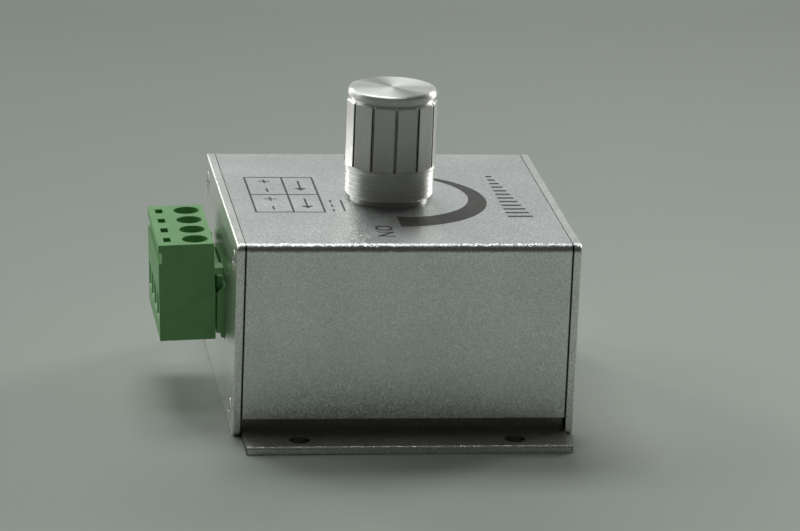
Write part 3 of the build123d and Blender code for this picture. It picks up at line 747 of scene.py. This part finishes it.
# Grid lines beside a groove, as shares of its half width and of half a flat
groove_lines = np.array([0.5, groove_floor_share, 1.0, groove_lip_share, 1.9]) * groove_angle
flat_lines = np.linspace(0.3, 0.9, 4) * half_flat
side_offsets = np.concatenate([groove_lines, flat_lines])
sector = np.concatenate([[-half_flat], -side_offsets[::-1], [0], side_offsets])
turns = grip_turn + 2 * half_flat * np.arange(grip_flats)
angles = (turns[:, None] + sector[None, :]).ravel()
offsets = np.tile(sector, grip_flats)
profile_radius = knob_profile[1:-1, 0][:, None]
profile_height = knob_profile[1:-1, 1][:, None]
on_grip = (profile_height <= grip_top) & (profile_height >= grip_bottom - height_slack)
held = np.where(on_grip, np.minimum(profile_radius, grip_limit(offsets)[None, :]), profile_radius)
knob_grid = np.stack([
    held * np.cos(angles),
    held * np.sin(angles),
    np.broadcast_to(profile_height, held.shape),
], axis=-1)
rows, columns = held.shape
knob_points = np.vstack([[(0, 0, knob_top)], knob_grid.reshape(-1, 3), [(0, 0, insert_top)]])
grid_index = 1 + np.arange(rows * columns).reshape(rows, columns)
next_index = np.roll(grid_index, -1, axis=1)
knob_quads = np.stack([grid_index[:-1], grid_index[1:], next_index[1:], next_index[:-1]], axis=-1)
top_fan = np.stack([np.zeros(columns, int), grid_index[0], next_index[0]], axis=-1)
last_point = len(knob_points) - 1
core_fan = np.stack([np.full(columns, last_point), next_index[-1], grid_index[-1]], axis=-1)
knob_faces = top_fan.tolist() + knob_quads.reshape(-1, 4).tolist() + core_fan.tolist()
knob_finishes = [knob_spun_shaded, knob_milled, knob_turned, knob_groove_shade]
knob = make_piece("knob_turned", knob_points, knob_faces, knob_finishes, "knob")
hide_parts("knob")
print("knob surface:", len(knob_points), "points,", len(knob_faces), "faces")

# %% [markdown]
# ### Finish of the knob
# Each face gets one of four finishes by its row and column on the grid, which is quicker than selecting faces
# by hand. The distance along the profile is kept as an attribute, because the turned rings follow it.

# %% Knob finish
SPUN, MILLED, TURNED, GROOVE_SHADE = range(4)
DARK_FLOOR = 0.6
DARK_WALL = (0.9, 1.1)
FLAT_WEIGHT = 80
path_step = np.linalg.norm(np.diff(knob_profile, axis=0), axis=1)
path_length = np.concatenate([[0], np.cumsum(path_step)])
lathe_path = np.concatenate([path_length[:1], np.repeat(path_length[1:-1], columns), path_length[-1:]])
path_attribute = knob.data.attributes.new("lathe_path", "FLOAT", "POINT")
path_attribute.data.foreach_set("value", lathe_path.astype(np.float32))
row_height = (knob_profile[1:-2, 1] + knob_profile[2:-1, 1]) / 2
row_radius = np.minimum(knob_profile[1:-2, 0], knob_profile[2:-1, 0])
row_milled = (row_height < grip_top - grip_bevel) & (row_height > grip_bottom) & (row_radius > neck_radius)
row_spun = row_height > knob_top - height_slack
row_finish = np.where(row_spun, SPUN, np.where(row_milled, MILLED, TURNED))
far_edge = np.maximum(np.abs(offsets), np.abs(np.roll(offsets, -1))) / groove_angle
near_edge = np.minimum(np.abs(offsets), np.abs(np.roll(offsets, -1))) / groove_angle
# painted shade: groove floors and far walls take the dark groove finish
in_groove = (far_edge < DARK_FLOOR) | ((near_edge > DARK_WALL[0]) & (far_edge < DARK_WALL[1]))
quad_finish = np.where(row_milled[:, None] & in_groove[None, :], GROOVE_SHADE, row_finish[:, None])
face_finish = np.concatenate([np.full(columns, SPUN), quad_finish.ravel(), np.full(columns, TURNED)])
knob.data.polygons.foreach_set("material_index", face_finish.astype(np.int32))
knob.data.shade_smooth()
knob.modifiers.new("flats stay flat", "WEIGHTED_NORMAL").weight = FLAT_WEIGHT
print("faces spun, milled, turned and in grooves:", np.bincount(face_finish).tolist())

# %% [markdown]
# ## End screws
# Four countersunk screws hold each end plate. In the frame they are one piece with their plate, with only the
# driver's cross cut in, so the bright heads are laid on here. A boolean would cut the cross, but a polar grid
# is cleaner: at every angle a line of points runs from the edge of the cross out to the rim of the head, and
# returns under the plate's face, which closes the ring.

# %% Screw heads
head_radius = 1.85 * MM
cross_half_length = 1.1 * MM
cross_half_width = 0.3 * MM
head_crown = 0.12 * MM
head_sink = 0.02 * MM
screw_from_wall = 4.3 * MM
screw_from_roof = 3.7 * MM
screw_from_foot = 2.8 * MM
head_shares = np.array([0.0, 0.0, 0.12, 0.6, 0.88, 1.0])
head_rises = np.array([-2.0, 0.7, 1.0, 0.8, 0.5, -head_sink / head_crown]) * head_crown
TINY = 1e-6
tip_angle = np.arctan2(cross_half_width, cross_half_length)
arm_angles = (0.35, 0.5)
quadrant = np.array([0, tip_angle / 2, tip_angle, *arm_angles, np.pi / 4])
quadrant = np.concatenate([quadrant, np.pi / 2 - quadrant[-2:0:-1]])
head_angles = (np.arange(4)[:, None] * np.pi / 2 + quadrant[None, :]).ravel()


def cross_edge(angle):
    """Distance from the centre to the edge of a cross: the end of the nearest arm, or that arm's side."""
    from_arm = np.abs((angle + np.pi / 4) % (np.pi / 2) - np.pi / 4)
    end = cross_half_length / np.cos(from_arm)
    side = cross_half_width / np.maximum(np.sin(from_arm), TINY)
    return np.minimum(end, side)


def screw_head(face_x, outwards, y, z):
    """Rings from the cross to the rim; the share of the way sets how high each ring stands on the plate."""
    share = head_shares[:, None]
    rise = head_rises[:, None]
    radius = cross_edge(head_angles) * (1 - share) + head_radius * share
    across = y + outwards * radius * np.cos(head_angles)
    up = z + radius * np.sin(head_angles)
    points = np.stack([np.broadcast_to(face_x + outwards * rise, radius.shape), across, up], axis=-1)
    index = np.arange(radius.size).reshape(radius.shape)
    ahead = np.roll(index, -1, axis=1)
    outer = np.roll(index, -1, axis=0)
    quads = np.stack([index, outer, np.roll(outer, -1, axis=1), ahead], axis=-1).reshape(-1, 4)
    return points.reshape(-1, 3), quads


for plate, outwards in (("terminal_end_plate", -1), ("blank_end_plate", 1)):
    plate_low, plate_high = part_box(plate)
    face_x = plate_low.x if outwards < 0 else plate_high.x
    places = [
        (side, z)
        for side in (plate_low.y + screw_from_wall, plate_high.y - screw_from_wall)
        for z in (plate_low.z + screw_from_foot, plate_high.z - screw_from_roof)
    ]
    heads = [screw_head(face_x, outwards, y, z) for y, z in places]
    head_points = np.vstack([points for points, _ in heads])
    head_quads = np.vstack([quads + i * len(heads[0][0]) for i, (_, quads) in enumerate(heads)])
    head_faces = head_quads.tolist()
    screws = make_piece(
        f"{plate}_screws", head_points, head_faces, [screw_finish], "case"
    )
    screws.data.shade_smooth()
    print("screw heads on", plate, len(head_quads), "faces")

# %% [markdown]
# ## Deburred flange edges
# The long edges of both flanges were run over a file, and the raised burr that stays catches the light as a
# crisp sparkling line. A bevel on the CAD mesh isn't possible without changing it, so a thin bead lies on
# each edge: a circle carried along the edge, closed by a flat face at both ends.

# %% Flange beads
base_low, base_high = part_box("base_plate")
flange_thickness = 1.0 * MM
flange_top = base_low.z + flange_thickness
bead_radius = 0.18 * MM
bead_inset = 0.15 * MM
BEAD_SIDES = 12
BEAD_STEPS = 160
WANDER = 0.25
WANDER_FINE = 5100
WANDER_SLOW = 1900
WANDER_SHIFT = 1.0


def edge_bead(y):
    """A circle round the flange's top edge, carried along X; its radius wanders by a product of two sines."""
    along = np.linspace(base_low.x + bead_inset, base_high.x - bead_inset, BEAD_STEPS)
    wander = 1 + WANDER * np.sin(along * WANDER_FINE) * np.sin(along * WANDER_SLOW + WANDER_SHIFT)
    turn = np.linspace(0, 2 * np.pi, BEAD_SIDES, endpoint=False)
    radius = bead_radius * wander[:, None]
    points = np.stack([
        np.broadcast_to(along[:, None], (BEAD_STEPS, BEAD_SIDES)),
        y + radius * np.cos(turn),
        flange_top + radius * np.sin(turn),
    ], axis=-1)
    index = np.arange(BEAD_STEPS * BEAD_SIDES).reshape(BEAD_STEPS, BEAD_SIDES)
    ahead = np.roll(index, -1, axis=1)
    quads = np.stack([index[:-1], ahead[:-1], ahead[1:], index[1:]], axis=-1).reshape(-1, 4)
    ends = [index[0, ::-1].tolist(), index[-1].tolist()]
    return points.reshape(-1, 3), quads.tolist() + ends


for side, edge_y in (("front", base_low.y + FLANGE_BEVEL), ("back", base_high.y - FLANGE_BEVEL)):
    bead_points, bead_faces = edge_bead(edge_y)
    bead = make_piece(f"flange_edge_{side}", bead_points, bead_faces, [edge_finish], "case")
    bead.data.shade_smooth()
    print("flange edge", side, len(bead_faces), "faces")

# %% [markdown]
# ## Print on the roof
# The roof carries a dial wedge that widens towards full light, the words ON and OFF, a small wiring table and
# a row of level bars. Decals could be images, but thin slabs of ink are sharper, carry their own material and
# export as meshes. Each stroke lies between two edge lines; a slab joins them with quads, a few
# hundredths of a millimetre thick, and sinks a little into the roof so that no light shows under it.

# %% Slabs of ink
roof_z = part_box("cover_shell")[1].z
INK_RISE = 0.015 * MM
INK_SINK = 0.010 * MM


def slab(left, right, closed=False):
    """Points and quads of a thin slab: four rails (both edges, low and high) with quads between them."""
    edges = np.stack([left, left, right, right])
    levels = roof_z + np.array([-INK_SINK, INK_RISE, INK_RISE, -INK_SINK])
    height = np.broadcast_to(levels[:, None, None], edges.shape[:2] + (1,))
    points = np.concatenate([edges, height], axis=-1)
    index = np.arange(points[..., 0].size).reshape(points.shape[:2])
    here = index if closed else index[:, :-1]
    ahead = np.roll(index, -1, axis=1) if closed else index[:, 1:]
    beside = np.roll(here, -1, axis=0)
    beside_ahead = np.roll(ahead, -1, axis=0)
    quads = np.stack([here, ahead, beside_ahead, beside], axis=-1).reshape(-1, 4)
    if not closed:
        quads = np.vstack([quads, index[:, 0], index[::-1, -1]])
    return points.reshape(-1, 3), quads


def outward(points, quads):
    """Turn all faces of a closed shape round if its signed volume is negative."""
    a, b, c, d = (points[quads[:, i]] - points.mean(axis=0) for i in range(4))
    volume = (a * (np.cross(b, c) + np.cross(c, d))).sum()
    return quads if volume > 0 else quads[:, ::-1]


def print_piece(name, slabs):
    """One printed mark made of several slabs of ink."""
    points = []
    quads = []
    start = 0
    for slab_points, slab_quads in slabs:
        points.append(slab_points)
        quads.append(outward(slab_points, slab_quads) + start)
        start += len(slab_points)
    faces = np.vstack(quads).tolist()
    return make_piece(name, np.vstack(points), faces, [ink_finish], "case")


def bar(x0, y0, x1, y1):
    """A rectangle of ink between two corners in millimetres."""
    left = np.array([(x0, y0), (x1, y0)]) * MM
    right = np.array([(x0, y1), (x1, y1)]) * MM
    return slab(left, right)


# %% Dial wedge
DIAL_CENTRE = np.array([0.0, -1.2]) * MM
DIAL_OUTER = 14.5 * MM
DIAL_INNER_FULL = 9.3 * MM
DIAL_INNER_DIM = 14.4 * MM
DIAL_TURN = (-90.5, 90)
DIAL_STEPS = 90
dial_angle = np.radians(np.linspace(*DIAL_TURN, DIAL_STEPS))
dial_direction = np.stack([np.cos(dial_angle), np.sin(dial_angle)], axis=-1)
dial_inner = np.linspace(DIAL_INNER_FULL, DIAL_INNER_DIM, len(dial_angle))[:, None]
wedge = slab(DIAL_CENTRE + dial_direction * dial_inner, DIAL_CENTRE + dial_direction * DIAL_OUTER)
print_piece("dial_wedge", [wedge])
print("dial wedge", len(dial_angle), "steps")


# %% Letters
STROKE = 0.42
LETTER_HEIGHT = 2.6
LETTER_WIDTH = 2.5
LETTER_STEP = 3.1
ROUND_POWER = 2.6
ROUND_STEPS = 48
SLANT = 1.7 * STROKE
ARMS = ((0.8, 1.0), (0.68, 0.58))


def placed(points, base_x, start_y):
    """Letter coordinates (along the line, up) on the roof: along runs towards -Y and up towards +X."""
    points = np.asarray(points, float)
    return np.stack([base_x + points[:, 1], start_y - points[:, 0]], axis=-1) * MM


def stroke(left, right, base_x, start_y):
    """A slab between two edge lines given in letter coordinates."""
    return slab(placed(left, base_x, start_y), placed(right, base_x, start_y))


def upright(along, base_x, start_y):
    """A stroke of full letter height."""
    left = [(along, 0), (along, LETTER_HEIGHT)]
    right = [(along + STROKE, 0), (along + STROKE, LETTER_HEIGHT)]
    return stroke(left, right, base_x, start_y)


def letter_o(base_x, start_y):
    """A round letter: the ring between two superellipses, cosine and sine raised to 2 over their power."""
    angle = np.linspace(0, 2 * np.pi, ROUND_STEPS, endpoint=False)
    unit = np.stack([np.cos(angle), np.sin(angle)], axis=-1)
    unit = np.sign(unit) * np.abs(unit) ** (2 / ROUND_POWER)
    half = np.array([LETTER_WIDTH, LETTER_HEIGHT]) / 2
    outer = placed(half + unit * half, base_x, start_y)
    inner = placed(half + unit * (half - STROKE), base_x, start_y)
    return [slab(outer, inner, True)]


def letter_n(base_x, start_y):
    """Two uprights and a slanting stroke between them."""
    far = LETTER_WIDTH - STROKE
    upper = [(STROKE, LETTER_HEIGHT), (far, SLANT)]
    lower = [(STROKE, LETTER_HEIGHT - SLANT), (far, 0)]
    slanting = stroke(upper, lower, base_x, start_y)
    return [upright(0, base_x, start_y), upright(far, base_x, start_y), slanting]


def letter_f(base_x, start_y):
    """An upright with two arms, given as shares of the letter's width and height."""
    strokes = [upright(0, base_x, start_y)]
    for reach, rise in ARMS:
        arm = LETTER_WIDTH * reach
        level = LETTER_HEIGHT * rise
        lower = level - STROKE
        edges = [(STROKE, level), (arm, level)], [(STROKE, lower), (arm, lower)]
        strokes.append(stroke(*edges, base_x, start_y))
    return strokes


WORD_BASE_X = -4.1
ON_START_Y = -15.3
OFF_START_Y = 23.0
on_word = letter_o(WORD_BASE_X, ON_START_Y) + letter_n(WORD_BASE_X, ON_START_Y - LETTER_STEP)
off_word = letter_o(WORD_BASE_X, OFF_START_Y)
off_word += letter_f(WORD_BASE_X, OFF_START_Y - LETTER_STEP)
off_word += letter_f(WORD_BASE_X, OFF_START_Y - 2 * LETTER_STEP)
print_piece("on_word", on_word)
print_piece("off_word", off_word)
print("letters:", len(on_word), "and", len(off_word), "strokes")

# %% Wiring table
TABLE_X = (-20.6, -15.0, -10.4)
TABLE_Y = (-8.2, 11.1)
TABLE_CELLS = 4
LINE = 0.3
half_line = LINE / 2
table_middle = sum(TABLE_Y) / 2
table = [bar(x - half_line, TABLE_Y[0], x + half_line, TABLE_Y[1]) for x in TABLE_X]
for low, high in zip(TABLE_X[:-1], TABLE_X[1:]):
    dividers = (TABLE_Y[0] + half_line, table_middle, TABLE_Y[1] - half_line)
    table += [bar(low + half_line, y - half_line, high - half_line, y + half_line) for y in dividers]
SIGN = 1.9
cell_width = (TABLE_Y[1] - TABLE_Y[0]) / TABLE_CELLS
sign_x = (TABLE_X[0] + TABLE_X[1]) / 2
for i in range(TABLE_CELLS):
    y = TABLE_Y[1] - (i + 0.5) * cell_width
    table.append(bar(sign_x - half_line, y - SIGN / 2, sign_x + half_line, y + SIGN / 2))
    if i % 2 == 0:
        table.append(bar(sign_x + half_line, y - half_line, sign_x + SIGN / 2, y + half_line))
        table.append(bar(sign_x - SIGN / 2, y - half_line, sign_x - half_line, y + half_line))
arrow_x = (TABLE_X[1] + TABLE_X[2]) / 2
ARROW = 5.2
HEAD = 1.3
HEAD_HALF = 0.7 * HEAD
TIP_HALF = 0.02
for middle in (table_middle + cell_width, table_middle - cell_width):
    tail = middle + ARROW / 2
    neck = middle - ARROW / 2 + HEAD
    tip = middle - ARROW / 2
    table.append(bar(arrow_x - half_line, neck, arrow_x + half_line, tail))
    head_left = np.array([(arrow_x - HEAD_HALF, neck), (arrow_x - TIP_HALF, tip)]) * MM
    head_right = np.array([(arrow_x + HEAD_HALF, neck), (arrow_x + TIP_HALF, tip)]) * MM
    table.append(slab(head_left, head_right))
print_piece("wiring_table", table)
print("wiring table:", len(table), "slabs")

# %% Level bars and supply symbol
LEVEL_BASE_X = 16.4
LEVEL_FIRST = 0.9
LEVEL_LAST = 3.8
LEVEL_SPAN = (12.0, -10.6)
LEVEL_COUNT = 12
LEVEL_WIDTH = 0.7
level_y = np.linspace(LEVEL_SPAN[0], LEVEL_SPAN[1] + LEVEL_WIDTH, LEVEL_COUNT)
level_rise = np.linspace(LEVEL_FIRST, LEVEL_LAST, LEVEL_COUNT)
levels = [
    bar(LEVEL_BASE_X, y - LEVEL_WIDTH, LEVEL_BASE_X + rise, y)
    for y, rise in zip(level_y, level_rise)
]
print_piece("level_bars", levels)
SUPPLY_X = (-9.0, -7.4)
SUPPLY_Y = (-7.6, -1.6)
DASHES = 3
dash = (SUPPLY_Y[1] - SUPPLY_Y[0]) / (2 * DASHES - 1)
supply = [bar(SUPPLY_X[1] - half_line, SUPPLY_Y[0], SUPPLY_X[1] + half_line, SUPPLY_Y[1])]
supply += [
    bar(SUPPLY_X[0] - half_line, y, SUPPLY_X[0] + half_line, y + dash)
    for y in SUPPLY_Y[0] + 2 * dash * np.arange(DASHES)
]
print_piece("supply_symbol", supply)
print("level bars:", len(levels), "supply symbol:", len(supply))
